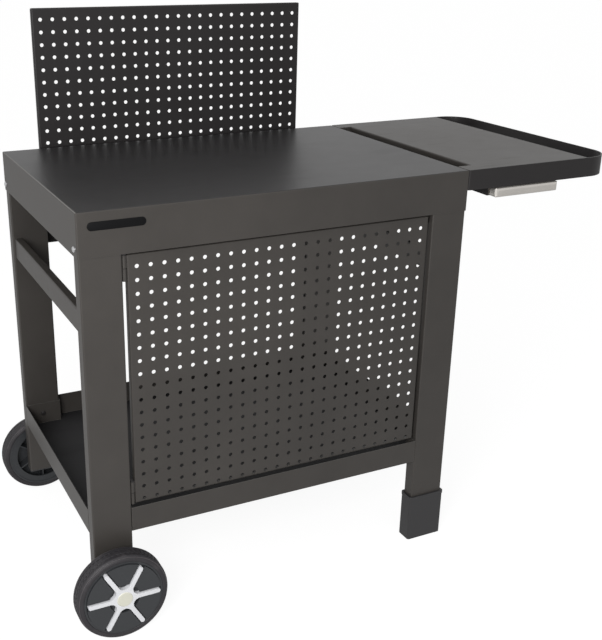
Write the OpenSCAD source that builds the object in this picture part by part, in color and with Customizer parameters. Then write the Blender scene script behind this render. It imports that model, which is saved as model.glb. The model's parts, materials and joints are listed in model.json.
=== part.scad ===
// Outdoor kitchen trolley of folded steel: a worktop with a perforated splash panel,
// a cabinet with a perforated door, a bottom tray, two wheels, two feet, and a side
// shelf whose rim is the carrying handle, with a shallow utensil drawer under it.
// The origin is on the floor, below the middle of the whole. The front faces -Y and
// the side shelf is at +X.

/* [Worktop] */
// Width of the worktop
top_w = 778; // [700:1:860]
// Depth of the worktop
top_d = 530; // [480:1:600]
// Height of the work surface above the floor
top_h = 806; // [790:1:860]
// Height of the skirt folded down round the worktop
skirt_h = 79; // [70:1:90]
// Width of the hem folded inwards at the skirt's lower edge
hem_w = 9; // [6:1:12]
// Thickness of the folded steel sheet
sheet_t = 1.5; // [1:0.1:2]
// Outer radius of the folds
fold_r = 3; // [2.4:0.1:3.4]
// Width of the stiffening channel under the worktop
stiffener_w = 60; // [40:1:90]
// Height of the stiffening channel
stiffener_h = 20; // [12:1:30]
// Width of the channel's two brims
brim_w = 14; // [8:1:20]

/* [Legs] */
// Width of a leg, seen from the front
leg_w = 75; // [66:1:84]
// Depth of a leg
leg_d = 28; // [26:1:36]
// Wall of the leg tube
leg_t = 1.5; // [1:0.1:2.2]
// Outer corner radius of the leg tube
leg_r = 3; // [2.6:0.1:5]
// Height of the lower end of the two legs that carry the wheels
wheel_leg_z = 73; // [58:1:74]
// Height of the plug that closes such a leg and holds its wheel's axle
plug_h = 44; // [38:1:60]

/* [Feet] */
// Height of the plastic sleeve on a foot
foot_h = 104; // [70:1:130]
// Wall of the foot sleeve
foot_t = 4; // [2:0.5:7]
// Thickness of the sole under the leg
foot_sole = 6; // [4:0.5:10]
// How far the sleeve's upper lip stands out
foot_lip = 1; // [0.5:0.1:3]
// Height of the sleeve's upper lip
foot_lip_h = 7; // [4:0.5:12]

/* [Side bars] */
// Height of a side bar
bar_h = 43; // [30:1:60]
// Thickness of a side bar
bar_d = 17; // [15:1:26]
// Height of the top of the side bars above the floor
bar_top_z = 627; // [560:1:680]
// Distance from the outside of the legs to the side bars
bar_inset = 4; // [0:0.5:6]

/* [Bottom tray] */
// Height of the tray's underside above the floor
tray_z = 189; // [180:1:230]
// Height of the tray's walls
tray_wall = 50; // [40:1:70]
// Clearance between the tray and the legs
tray_clear = 0.2; // [0.1:0.05:0.3]

/* [Perforation] */
// Diameter of the holes
hole_d = 8; // [7:0.5:12]
// Distance from hole to hole
hole_pitch = 25; // [20:1:32]
// Least distance from the side edges to the outer holes
hole_side = 15; // [12:1:24]
// Distance from the top edge to the first row of holes
hole_top = 22; // [14:1:30]

/* [Splash panel] */
// Height of the splash panel above the work surface
panel_rise = 278; // [200:1:350]
// Length of the splash panel below the work surface
panel_drop = 212; // [150:1:260]
// Distance from the worktop to the splash panel
panel_gap = 20; // [8:1:40]
// Depth of the edges folded back round the splash panel
panel_lip = 10; // [8:1:16]

/* [Door] */
// Gap at the hinged side of the door
door_gap_hinge = 10; // [9.5:0.5:12]
// Gap at the free side of the door
door_gap_free = 5; // [3.5:0.5:6]
// Gap above and below the door
door_gap_z = 4; // [3:0.5:8]
// How far the door lies behind the front of the legs
door_recess = 6; // [4:0.5:7]
// Depth of the edges folded back round the door
door_lip = 12; // [10:0.5:14]
// Height of each hinge knuckle
knuckle_h = 22; // [16:1:30]
// Diameter of the two hinge pins
hinge_pin_d = 5; // [4:0.5:6]
// Thickness of the washer between two knuckles
washer_t = 1; // [0.5:0.1:2]
// Height of the magnetic catch
catch_h = 14; // [12:1:24]
// Width of the magnetic catch
catch_w = 14; // [12:1:20]

/* [Wheels] */
// Diameter of a wheel
wheel_d = 175; // [165:1:185]
// Width of a wheel
wheel_w = 38; // [34:1:48]
// Distance from the leg to the wheel
wheel_gap = 14; // [8:0.5:20]
// Diameter of the wheel's rim, inside the tyre
disc_d = 151; // [146:1:154]
// Depth of the disc behind the tyre's outer face
dish_depth = 5; // [3:0.5:7]
// Diameter of an axle
axle_d = 12; // [10:0.5:14]
// Diameter over the tips of the star
star_d = 138; // [110:1:140]
// Diameter of the star's middle
star_hub_d = 38; // [34:1:42]
// Width of a star's arm
star_arm_w = 8.5; // [6:0.5:10]
// Number of arms of the star
star_arms = 6; // [5:1:7]
// How far the star stands out of the tyre's outer face
star_proud = 4.5; // [3:0.5:6]

/* [Side shelf] */
// Width of the slot between the worktop and the shelf
slot_w = 31; // [20:1:40]
// Distance from the shelf's front and rear edges to the slot
slot_end = 38; // [30:1:60]
// Distance from the worktop to the shelf's outer edge
shelf_reach = 299; // [280:1:330]
// Depth of the shelf's folded edges
shelf_edge_h = 25; // [15:1:30]
// Distance from the worktop to the outside of the handle
handle_reach = 368; // [350:1:430]
// Height of the handle band
band_h = 39.5; // [36:0.5:48]
// Thickness of the handle band
band_t = 3; // [2:0.5:4]
// Outer corner radius of the handle band
band_r = 60; // [20:1:75]
// Length of the band's ends that lie on the worktop's skirt
band_tab = 30; // [26:1:34]

/* [Drawer] */
// Width of the drawer's housing and grip
drawer_w = 158; // [130:1:190]
// Distance from the worktop to the drawer's housing
drawer_x = 68; // [50:1:80]
// Height of the drawer
drawer_h = 21.5; // [17:0.5:24]
// Length of the drawer, grip included
drawer_l = 320; // [280:1:400]
// Depth of the drawer's grip
grip_d = 25; // [20:1:35]
// Running clearance round the drawer
drawer_clear = 0.3; // [0.2:0.05:0.6]
// Width of the runners that keep the drawer down
runner_w = 10; // [6:1:16]

/* [Fasteners] */
// Thread diameter of the bolts
bolt_d = 6; // [5:0.5:6]
// Diameter of a bolt's head
bolt_head_d = 11; // [10:0.5:12]
// Height of a bolt's head
bolt_head_h = 3.3; // [2.5:0.1:4]
// Width of a nut across its flats
nut_w = 10; // [9:0.5:11]
// Height of a nut
nut_h = 5; // [4:0.5:6]
// Radial clearance of a bolt in its hole
bolt_clear = 0.25; // [0.1:0.05:0.5]
// Radial clearance where a wheel, hinge or axle turns
run_clear = 0.08; // [0.05:0.01:0.1]
// Clearance between faces that pass each other
face_clear = 0.3; // [0.2:0.05:0.5]

/* [Hidden] */
$fn = 48;
left = -1;
right = 1;
front = -1;
rear = 1;
sides = [-1, 1];
cut = 1;

top_x = top_w / 2;
top_y = top_d / 2;
skirt_z = top_h - skirt_h;
under_z = top_h - sheet_t;
frame_x = top_x - sheet_t;
frame_y = top_y - sheet_t;
leg_x = frame_x - leg_w / 2;
leg_y = frame_y - leg_d / 2;
leg_top_z = under_z - fold_r;
bay_x = frame_x - leg_w;
bay_y = frame_y - leg_d;
leg_bolt_z = skirt_z + 14;
tray_bolt_z = tray_z + tray_wall / 2;

axle_z = wheel_d / 2;
wheel_in_y = frame_y + wheel_gap;
wheel_out_y = wheel_in_y + wheel_w;
axle_seat_l = leg_d - leg_t - 3;
axle_in_z = -wheel_w - wheel_gap - axle_seat_l;
bush_t = 2;
hub_r = axle_d / 2 + 10;
retainer_t = 1.6;
retainer_in = dish_depth + 7;
hoop_t = 4;
disc_t = 3;
pad_h = dish_depth + 2;
flange_w = 18;
star_web_r = star_hub_d / 2 + 14;

panel_y = top_y + panel_gap;
panel_w = 2 * bay_x - door_gap_hinge - door_gap_free;
panel_top_z = top_h + panel_rise;
panel_cols = hole_count(panel_w - 2 * hole_side);
panel_bolt_x = (panel_cols / 2 - 4) * hole_pitch;
panel_bolt_rows = [ceil((panel_rise - hole_top + 14) / hole_pitch),
    floor((panel_rise - hole_top + skirt_h - hem_w) / hole_pitch)];
panel_washer_d = bolt_head_d + 6;
panel_washer_t = 1.2;

door_w = panel_w;
door_top_z = skirt_z - door_gap_z;
door_low_z = tray_z + tray_wall + door_gap_z;
door_h = door_top_z - door_low_z;
door_x = (door_gap_hinge - door_gap_free) / 2;
door_y = door_recess - frame_y;
hinge_x = door_gap_hinge / 2 - bay_x;
hinge_y = door_y + 2;
hinge_r = door_gap_hinge / 2 - 0.6;
hinge_h = 2 * knuckle_h + washer_t + face_clear;
hinge_inset = 1;
hinge_head_h = 3;
hinge_low_z = [door_low_z + hinge_inset, door_top_z - hinge_inset - hinge_h];
strike_t = 2;
catch_d = 18;
catch_rim = 3;
catch_z = door_top_z - catch_rim - catch_h;
catch_y = door_y + door_lip + strike_t + face_clear;

shelf_x = top_x + shelf_reach;
shelf_y = top_y - band_t;
slot_x = top_x + slot_w;
slot_y = top_y - slot_end;
handle_x = top_x + handle_reach;
band_z = top_h - band_h;
band_bolt_y = shelf_y - band_tab / 2 - 1;
band_bolt_z = top_h - band_h / 2;
handle_grip = band_t + sheet_t + leg_t;
middle_x = (handle_x - leg_x - wheel_d / 2) / 2;

housing_x = top_x + drawer_x + drawer_w / 2;
drawer_z = band_z - 1 - drawer_h;
housing_y = -top_y + grip_d + 1;
housing_l = drawer_l - grip_d + 12;
tray_in_z = drawer_z + sheet_t + face_clear;
tray_in_w = drawer_w - 2 * (sheet_t + drawer_clear);
tray_in_h = drawer_h - 2 * sheet_t - 2 * face_clear;
tray_in_y = -top_y + grip_d;
tray_in_l = drawer_l - grip_d;
grip_screw_x = drawer_w * 0.3;
screw_d = 4;
screw_head_d = 7.6;
screw_head_h = 2.2;

// Brings the middle of the whole to the origin: the modules count from the worktop's
module centred() {
    translate([-middle_x, 0, 0]) children();
}

// Flat shapes with true arcs
module rounded_rect(w, d, r) {
    square([w - 2 * r, d], center = true);
    square([w, d - 2 * r], center = true);
    for (i = sides, j = sides) translate([i * (w / 2 - r), j * (d / 2 - r)]) circle(r);
}

module rect_tube(w, d, t, r) {
    difference() {
        rounded_rect(w, d, r);
        rounded_rect(w - 2 * t, d - 2 * t, r - t);
    }
}

module ring(d_out, d_in, h) {
    linear_extrude(h) difference() {
        circle(d = d_out);
        circle(d = d_in);
    }
}

// A profile that hangs below y = 0, with its two upper corners rounded
module crowned(w, h, r) {
    translate([-w / 2, -h]) square([w, h - r]);
    translate([r - w / 2, -h]) square([w - 2 * r, h]);
    for (i = sides) translate([i * (w / 2 - r), -r]) circle(r);
}

// A folded pan, open below, whose top is at z = 0
module pan_block(w, d, h, r) {
    intersection() {
        translate([0, 0, -h]) linear_extrude(h) rounded_rect(w, d, r);
        rotate([90, 0, 0]) linear_extrude(d + cut, center = true) crowned(w, h + cut, r);
        rotate([90, 0, 90]) linear_extrude(w + cut, center = true) crowned(d, h + cut, r);
    }
}

module folded_pan(w, d, h) {
    difference() {
        pan_block(w, d, h, fold_r);
        translate([0, 0, -sheet_t])
            pan_block(w - 2 * sheet_t, d - 2 * sheet_t, h, fold_r - sheet_t);
    }
}

// Turns what points up the z axis towards the direction named
module facing(dir) {
    turn = dir == "-x" ? [0, -90, 0] : dir == "+x" ? [0, 90, 0] :
        dir == "-y" ? [90, 0, 0] : dir == "+y" ? [-90, 0, 0] :
        dir == "-z" ? [180, 0, 0] : [0, 0, 0];
    rotate(turn) children();
}

// A bolt whose head sits on z = 0 and whose shank goes down
module bolt(length, d = bolt_d, head_d = bolt_head_d, head_h = bolt_head_h) {
    tip = d * 0.1;
    rotate_extrude() polygon([[0, -length], [d / 2 - tip, -length], [d / 2, tip - length],
        [d / 2, 0], [head_d / 2, 0], [head_d / 2, head_h * 0.4], [head_d * 0.34, head_h],
        [0, head_h]]);
}

module bolt_hole(length) {
    translate([0, 0, -length]) cylinder(d = bolt_d + 2 * bolt_clear, h = length + cut);
}

module nut() {
    linear_extrude(nut_h) difference() {
        circle(d = nut_w / cos(30), $fn = 6);
        circle(d = bolt_d + 2 * run_clear);
    }
}

// Bolt places: each puts its children on the face that the bolt's head sits on
module at_leg_bolts(depth = 0) {
    for (i = sides, j = sides) translate([i * (top_x - depth), j * leg_y, leg_bolt_z])
        facing(i < 0 ? "-x" : "+x") children();
}

module at_panel_bolts(y) {
    for (i = sides, row = panel_bolt_rows)
        translate([i * panel_bolt_x, y, panel_top_z - hole_top - row * hole_pitch])
            facing("+y") children();
}

module at_handle_bolts(depth = 0) {
    for (j = sides) translate([top_x + band_t - depth, j * band_bolt_y, band_bolt_z])
        facing("+x") children();
}

module at_tray_bolts(i, j) {
    seat = tray_clear + sheet_t;
    translate([i * (bay_x - seat), j * leg_y, tray_bolt_z])
        facing(i < 0 ? "+x" : "-x") children();
    translate([i * leg_x, j * (bay_y - seat), tray_bolt_z])
        facing(j < 0 ? "+y" : "-y") children();
}

// A leg's outline seen from above, grown by a margin on each side
module leg_outline(i, j, grow) {
    translate([i * leg_x, j * leg_y])
        square([leg_w + 2 * grow, leg_d + 2 * grow], center = true);
}

module worktop() {
    color("#4a4845") centred() difference() {
        union() {
            translate([0, 0, top_h]) folded_pan(top_w, top_d, skirt_h);
            translate([0, 0, skirt_z]) linear_extrude(sheet_t) difference() {
                rounded_rect(top_w, top_d, fold_r);
                square([top_w - 2 * hem_w, top_d - 2 * hem_w], center = true);
                for (i = sides, j = sides) leg_outline(i, j, 0);
            }
        }
        at_leg_bolts() bolt_hole(sheet_t + cut);
        at_panel_bolts(top_y) bolt_hole(sheet_t + cut);
        at_handle_bolts(band_t) bolt_hole(sheet_t + cut);
    }
}

// A hat-shaped channel that runs along the underside of the worktop
module top_stiffener() {
    color("#3a3836") centred() translate([0, 0, under_z]) rotate([90, 0, 90])
        linear_extrude(2 * bay_x, center = true) difference() {
            union() {
                translate([-stiffener_w / 2, -stiffener_h])
                    square([stiffener_w, stiffener_h]);
                translate([-stiffener_w / 2 - brim_w, -sheet_t])
                    square([stiffener_w + 2 * brim_w, sheet_t]);
            }
            translate([sheet_t - stiffener_w / 2, sheet_t - stiffener_h])
                square([stiffener_w - 2 * sheet_t, stiffener_h]);
        }
}

module leg(i, j) {
    low_z = i == left ? wheel_leg_z : foot_sole;
    color("#484644") centred() difference() {
        translate([i * leg_x, j * leg_y, low_z]) linear_extrude(leg_top_z - low_z)
            rect_tube(leg_w, leg_d, leg_t, leg_r);
        at_leg_bolts() bolt_hole(sheet_t + leg_t + cut);
        at_handle_bolts() bolt_hole(handle_grip + cut);
        at_tray_bolts(i, j) bolt_hole(sheet_t + tray_clear + leg_t + cut);
        if (i == left) axle_seat(j);
    }
}

module leg_front_left() { leg(left, front); }
module leg_rear_left() { leg(left, rear); }
module leg_front_right() { leg(right, front); }
module leg_rear_right() { leg(right, rear); }

// Plugs that close the two short legs and hold the axles
module leg_plugs() {
    sole_t = 3;
    color("#2c2c2e") centred() for (j = sides) difference() {
        translate([-leg_x, j * leg_y, wheel_leg_z]) {
            translate([0, 0, -sole_t]) linear_extrude(sole_t)
                rounded_rect(leg_w, leg_d, leg_r);
            linear_extrude(plug_h)
                rounded_rect(leg_w - 2 * leg_t, leg_d - 2 * leg_t, leg_r - leg_t);
        }
        axle_seat(j);
    }
}

module side_bar(i) {
    color("#55504f") centred()
        translate([i * (frame_x - bar_inset - bar_d / 2), 0, bar_top_z - bar_h / 2])
            rotate([90, 0, 0]) linear_extrude(2 * bay_y, center = true)
                rect_tube(bar_d, bar_h, leg_t, leg_r);
}

module left_side_bar() { side_bar(left); }
module right_side_bar() { side_bar(right); }

// The tray's outline, with a notch for each leg, drawn in by a margin
module tray_outline(inset) {
    difference() {
        square([2 * (frame_x - inset), 2 * (frame_y - inset)], center = true);
        for (i = sides, j = sides) leg_outline(i, j, tray_clear + inset);
    }
}

module bottom_tray() {
    color("#3c3a3c") centred() difference() {
        intersection() {
            translate([0, 0, tray_z]) {
                linear_extrude(sheet_t) tray_outline(0);
                linear_extrude(tray_wall) difference() {
                    tray_outline(0);
                    tray_outline(sheet_t);
                }
            }
            translate([0, 0, tray_z]) rotate([-90, 0, 0])
                linear_extrude(top_d, center = true)
                    crowned(2 * frame_x, tray_wall + cut, fold_r);
            translate([0, 0, tray_z]) rotate([-90, 0, 90])
                linear_extrude(top_w, center = true)
                    crowned(2 * frame_y, tray_wall + cut, fold_r);
        }
        for (i = sides, j = sides) at_tray_bolts(i, j) bolt_hole(sheet_t + cut);
    }
}

module foot(j) {
    fit = 0.1;
    w = leg_w + 2 * foot_t;
    d = leg_d + 2 * foot_t;
    corner = leg_r + foot_t / 2;
    color("#3b3c3e") centred() translate([leg_x, j * leg_y, 0]) difference() {
        union() {
            linear_extrude(foot_h) rounded_rect(w, d, corner);
            translate([0, 0, foot_h - foot_lip_h]) linear_extrude(foot_lip_h)
                rounded_rect(w + 2 * foot_lip, d + 2 * foot_lip, corner + foot_lip);
        }
        translate([0, 0, foot_sole]) linear_extrude(foot_h)
            rounded_rect(leg_w + 2 * fit, leg_d + 2 * fit, leg_r + fit);
    }
}

module foot_front() { foot(front); }
module foot_rear() { foot(rear); }

// Puts its children on the axle of the wheel at side j: z = 0 is the tyre's outer
// face, and z points away from the leg
module on_axle(j) {
    translate([-leg_x, j * wheel_out_y, axle_z]) facing(j < 0 ? "-y" : "+y") children();
}

// The blind bore in a leg and its plug that holds a wheel's axle
module axle_seat(j) {
    on_axle(j) translate([0, 0, axle_in_z]) cylinder(d = axle_d, h = axle_seat_l + cut);
}

// A short axle for each wheel, so that nothing crosses the space below the tray
module axle() {
    tip_z = retainer_t - retainer_in + 1.4;
    bevel = 1;
    color("#8f9194") centred() for (j = sides) on_axle(j) rotate_extrude()
        polygon([[0, axle_in_z], [axle_d / 2 - bevel, axle_in_z], [axle_d / 2, axle_in_z + bevel],
            [axle_d / 2, tip_z - bevel], [axle_d / 2 - bevel, tip_z], [0, tip_z]]);
}

module wheel_spacers() {
    color("#b8b9ba") centred() for (j = sides) on_axle(j) translate([0, 0, -wheel_w - wheel_gap])
        ring(axle_d + 12, axle_d, wheel_gap - face_clear);
}

module axle_retainers() {
    color("#a9abad") centred() for (j = sides) on_axle(j)
        translate([0, 0, face_clear - retainer_in]) ring(axle_d + 8, axle_d, retainer_t);
}

// A solid tyre with rounded shoulders and two grooves in its tread
module tyre(j) {
    r_out = wheel_d / 2;
    r_in = disc_d / 2;
    shoulder = 0.75 * (r_out - r_in);
    groove_w = 2;
    groove_h = 1.4;
    color("#2b2a2c") centred() on_axle(j) rotate_extrude($fn = 96) difference() {
        intersection() {
            translate([r_in, -wheel_w]) square([r_out - r_in, wheel_w]);
            union() {
                translate([0, -wheel_w]) square([r_out - shoulder, wheel_w]);
                translate([0, shoulder - wheel_w]) square([r_out, wheel_w - 2 * shoulder]);
                for (y = [-shoulder, shoulder - wheel_w])
                    translate([r_out - shoulder, y]) circle(shoulder);
            }
        }
        for (y = [-wheel_w * 0.36, -wheel_w * 0.64])
            translate([r_out - groove_h, y - groove_w / 2]) square([shoulder, groove_w]);
    }
}

// The star's arms with their round tips
module star_arms_outline() {
    arm_r = star_arm_w / 2;
    for (k = [0 : star_arms - 1]) rotate(360 / star_arms * k) {
        translate([0, -arm_r]) square([star_d / 2 - arm_r, star_arm_w]);
        translate([star_d / 2 - arm_r, 0]) circle(arm_r);
    }
}

// The rim: a hoop under the tyre with a flange at the leg's side, a dished disc with a
// raised pad between each two arms of the star, a hub, and ribs behind the disc
module rim(j) {
    r_hoop = disc_d / 2;
    rib_t = 3;
    rib_z = 5 - wheel_w;
    arm_gap_w = star_arm_w + 4;
    color("#33363a") centred() on_axle(j) difference() {
        union() {
            translate([0, 0, cut - wheel_w]) ring(disc_d, disc_d - 2 * hoop_t, wheel_w - 2 * cut);
            translate([0, 0, rib_z - disc_t])
                ring(disc_d - hoop_t, disc_d - 2 * flange_w, disc_t + cut);
            translate([0, 0, -dish_depth - disc_t])
                cylinder(r = r_hoop - hoop_t / 2, h = disc_t);
            translate([0, 0, -dish_depth]) linear_extrude(pad_h) difference() {
                circle(r_hoop - hoop_t - 0.5);
                circle(star_web_r * cos(180 / star_arms) + 1);
                for (k = [0 : star_arms - 1]) rotate(360 / star_arms * k)
                    translate([0, -arm_gap_w / 2]) square([r_hoop, arm_gap_w]);
            }
            translate([0, 0, -wheel_w]) cylinder(r = hub_r, h = wheel_w - dish_depth);
            for (k = [0 : star_arms - 1]) rotate(360 / star_arms * (k + 0.5))
                translate([0, -rib_t / 2, rib_z])
                    cube([r_hoop - hoop_t / 2, rib_t, -rib_z - dish_depth - disc_t / 2]);
        }
        translate([0, 0, -wheel_w - cut])
            cylinder(r = axle_d / 2 + bush_t, h = wheel_w + cut);
        translate([0, 0, -retainer_in]) cylinder(d = axle_d + 10, h = retainer_in + cut);
    }
}

module hub_bush(j) {
    color("#c9c7bf") centred() on_axle(j) translate([0, 0, -wheel_w])
        ring(axle_d + 2 * bush_t, axle_d + 2 * run_clear, wheel_w - retainer_in);
}

// The star's middle: arcs run from arm to arm, so that each arm widens at its root
module star_web() {
    scoop_r = star_web_r * sin(180 / star_arms) - star_arm_w / 2;
    difference() {
        circle(star_web_r * cos(180 / star_arms));
        for (k = [0 : star_arms - 1]) rotate(360 / star_arms * (k + 0.5))
            translate([star_web_r, 0]) circle(scoop_r);
    }
    circle(star_hub_d / 2 - 1);
}

module star_cap(j) {
    crown_r = star_hub_d / 2 - 4;
    crown_h = 1;
    well_h = dish_depth - 1;
    color("#d6d8db") centred() on_axle(j) difference() {
        union() {
            translate([0, 0, -dish_depth]) linear_extrude(dish_depth + star_proud) {
                star_arms_outline();
                star_web();
            }
            rotate_extrude() polygon([[0, 0], [crown_r, 0], [crown_r, star_proud],
                [crown_r - crown_h, star_proud + crown_h], [0, star_proud + crown_h]]);
        }
        translate([0, 0, -dish_depth - cut]) cylinder(d = axle_d + 9, h = well_h + cut);
    }
}

module front_tyre() { tyre(front); }
module front_rim() { rim(front); }
module front_hub_bush() { hub_bush(front); }
module front_star_cap() { star_cap(front); }
module rear_tyre() { tyre(rear); }
module rear_rim() { rim(rear); }
module rear_hub_bush() { hub_bush(rear); }
module rear_star_cap() { star_cap(rear); }

// How many steps from hole to hole fit in a length
function hole_count(length) = floor(length / hole_pitch);

// The rows and columns of holes in a panel that is centred on the origin
module hole_field(w, h) {
    low_edge = fold_r + hole_d / 2 + 0.3;
    cols = hole_count(w - 2 * hole_side);
    rows = hole_count(h - hole_top - low_edge);
    for (i = [0 : cols], j = [0 : rows])
        translate([(i - cols / 2) * hole_pitch, h / 2 - hole_top - j * hole_pitch])
            circle(d = hole_d, $fn = 24);
}

// A perforated sheet with its four edges folded back, facing -Y, its front at y = 0
module perforated_panel(w, h, lip) {
    flat_w = w - 2 * fold_r;
    flat_h = h - 2 * fold_r;
    rotate([90, 0, 0]) {
        difference() {
            folded_pan(w, h, lip);
            translate([0, 0, -lip / 2]) cube([flat_w, flat_h, lip + cut], center = true);
        }
        translate([0, 0, -sheet_t]) linear_extrude(sheet_t) difference() {
            square([flat_w, flat_h], center = true);
            hole_field(w, h);
        }
    }
}

module splash_panel() {
    panel_h = panel_rise + panel_drop;
    color("#2f2c2e") centred() translate([0, panel_y, panel_top_z - panel_h / 2])
        perforated_panel(panel_w, panel_h, panel_lip);
}

// The panel is held by four bolts that pass through its own holes: a spacer in front
// of it, a washer behind it and a nut inside the skirt
module panel_spacers() {
    color("#3a383a") centred() at_panel_bolts(top_y)
        ring(bolt_head_d + 5, bolt_d + 2 * bolt_clear, panel_gap);
}

module panel_washers() {
    color("#a9abad") centred() at_panel_bolts(panel_y + sheet_t)
        ring(panel_washer_d, bolt_d + 2 * bolt_clear, panel_washer_t);
}

module panel_bolts() {
    grip = panel_washer_t + 2 * sheet_t + panel_gap;
    color("#c4c6c8") centred() at_panel_bolts(panel_y + sheet_t + panel_washer_t)
        bolt(grip + nut_h + 1);
}

module panel_nuts() {
    color("#c4c6c8") centred() at_panel_bolts(frame_y) translate([0, 0, -nut_h]) nut();
}

module door_panel() {
    color("#4b4845") centred() translate([door_x, door_y, (door_top_z + door_low_z) / 2])
        perforated_panel(door_w, door_h, door_lip);
}

// A hinge knuckle with a tab that reaches the face it is welded to: the leg's at
// side left, the door's edge at side right
module knuckle(side, bore_d) {
    reach = door_gap_hinge / 2;
    tab = 3;
    linear_extrude(knuckle_h) difference() {
        union() {
            circle(hinge_r);
            translate([side < 0 ? -reach : 0, -tab / 2]) square([reach, tab]);
        }
        circle(d = bore_d);
    }
}

module at_hinges(up) {
    for (z = hinge_low_z) translate([hinge_x, hinge_y, z + up]) children();
}

module leg_knuckles() {
    color("#4b4845") centred() at_hinges(0) knuckle(left, hinge_pin_d);
}

module door_knuckles() {
    color("#4b4845") centred() at_hinges(hinge_h - knuckle_h)
        knuckle(right, hinge_pin_d + 2 * run_clear);
}

module hinge_washers() {
    color("#b8b9ba") centred() at_hinges(knuckle_h) ring(2 * hinge_r, hinge_pin_d, washer_t);
}

module hinge_pins() {
    color("#b8b9ba") centred() at_hinges(0) {
        cylinder(d = hinge_pin_d, h = hinge_h + face_clear + hinge_head_h);
        translate([0, 0, hinge_h + face_clear]) cylinder(r = hinge_r, h = hinge_head_h);
    }
}

// The magnet sits on the leg behind the door's free edge, and the strike on the door
module magnet_catch() {
    pole_t = 1.5;
    pole_gap = 2;
    color("#2c2c2e") centred() translate([bay_x - catch_w, catch_y, catch_z]) difference() {
        cube([catch_w, catch_d, catch_h]);
        for (z = [catch_h / 2 - pole_gap - pole_t, catch_h / 2 + pole_gap])
            translate([1, -cut, z]) cube([catch_w - 4, cut + 1, pole_t]);
    }
}

module door_strike() {
    edge_x = bay_x - door_gap_free;
    color("#a9abad") centred() translate([edge_x - catch_w, door_y + door_lip, catch_z - catch_rim])
        cube([catch_w, strike_t, catch_h + 2 * catch_rim]);
}

// The shelf's outline seen from above: it meets the worktop in front of and behind
// the slot
module shelf_outline(inset) {
    difference() {
        translate([top_x + inset, inset - shelf_y])
            square([shelf_reach - 2 * inset, 2 * (shelf_y - inset)]);
        translate([top_x - cut, -slot_y - inset])
            square([slot_w + cut + inset, 2 * (slot_y + inset)]);
    }
}

module side_shelf() {
    color("#58545a") centred() difference() {
        translate([0, 0, top_h]) {
            translate([0, 0, -sheet_t]) linear_extrude(sheet_t) shelf_outline(0);
            translate([0, 0, -shelf_edge_h]) linear_extrude(shelf_edge_h) difference() {
                shelf_outline(0);
                shelf_outline(sheet_t);
                square([2 * (top_x + band_t), top_d], center = true);
            }
        }
        translate([shelf_x - fold_r, 0, top_h - fold_r]) fold_cut(top_d);
        translate([slot_x + fold_r, 0, top_h - fold_r]) mirror([1, 0, 0]) fold_cut(2 * slot_y);
    }
}

// What a fold along Y takes off a square edge, with the fold's centre at the origin
module fold_cut(length) {
    rotate([90, 0, 0]) linear_extrude(length, center = true) difference() {
        square(fold_r + cut);
        circle(fold_r);
    }
}

// One flat band bent into a U, its two ends turned in against the worktop's skirt
module band_outline() {
    bend_r = band_t + 2;
    difference() {
        union() {
            difference() {
                handle_shape(0, band_r);
                handle_shape(band_t, band_r - band_t);
            }
            for (j = sides) translate([top_x, j * (shelf_y - band_tab / 2) - band_tab / 2])
                square([band_t, band_tab]);
        }
        for (j = sides) translate([top_x + bend_r, j * (top_y - bend_r)]) difference() {
            translate([-bend_r - cut, j > 0 ? 0 : -bend_r - cut]) square(bend_r + cut);
            circle(bend_r);
        }
    }
}

module handle_shape(inset, r) {
    x_end = handle_x - inset;
    y_end = top_y - inset;
    start = top_x + (inset > 0 ? -cut : 0);
    translate([start, -y_end]) square([x_end - r - start, 2 * y_end]);
    translate([start, r - y_end]) square([x_end - start, 2 * (y_end - r)]);
    for (j = sides) translate([x_end - r, j * (y_end - r)]) circle(r, $fn = 96);
}

module handle_band() {
    color("#3b3838") centred() difference() {
        translate([0, 0, band_z]) linear_extrude(band_h) band_outline();
        at_handle_bolts() bolt_hole(band_t + cut);
        translate([top_x, 0, top_h])
            cube([2 * band_t + cut, 2 * shelf_y, 2 * sheet_t], center = true);
    }
}

module handle_bolts() {
    color("#c4c6c8") centred() at_handle_bolts() bolt(handle_grip + nut_h + 1);
}

module handle_nuts() {
    color("#c4c6c8") centred() at_handle_bolts(handle_grip + nut_h) nut();
}

// A sheet channel that hangs from the shelf, with runners above the drawer's sides
module drawer_housing() {
    wall_h = top_h - sheet_t - drawer_z;
    runner_z = drawer_h - sheet_t;
    color("#2e2c2e") centred() translate([housing_x, housing_y, drawer_z]) rotate([90, 0, 180])
        linear_extrude(housing_l) {
            translate([-drawer_w / 2, 0]) square([drawer_w, sheet_t]);
            for (i = sides) {
                translate([i * (drawer_w - sheet_t) / 2 - sheet_t / 2, 0])
                    square([sheet_t, wall_h]);
                translate([i * (drawer_w - runner_w) / 2 - runner_w / 2, runner_z])
                    square([runner_w, sheet_t]);
            }
        }
}

module drawer_tray() {
    color("#8f9194") centred() translate([housing_x, tray_in_y, tray_in_z]) difference() {
        translate([-tray_in_w / 2, 0, 0]) cube([tray_in_w, tray_in_l, tray_in_h]);
        translate([sheet_t - tray_in_w / 2, sheet_t, sheet_t])
            cube([tray_in_w - 2 * sheet_t, tray_in_l - 2 * sheet_t, tray_in_h]);
        at_grip_screws() cylinder(d = screw_d, h = 3 * sheet_t, center = true);
    }
}

// The grip's screws, seen from the tray's front face with its front at y = 0
module at_grip_screws() {
    for (i = sides) translate([i * grip_screw_x, 0, tray_in_h / 2]) facing("+y") children();
}

module drawer_screws() {
    color("#c4c6c8") centred() translate([housing_x, tray_in_y, tray_in_z]) at_grip_screws()
        translate([0, 0, sheet_t]) bolt(sheet_t + 10, screw_d, screw_head_d, screw_head_h);
}

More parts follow.
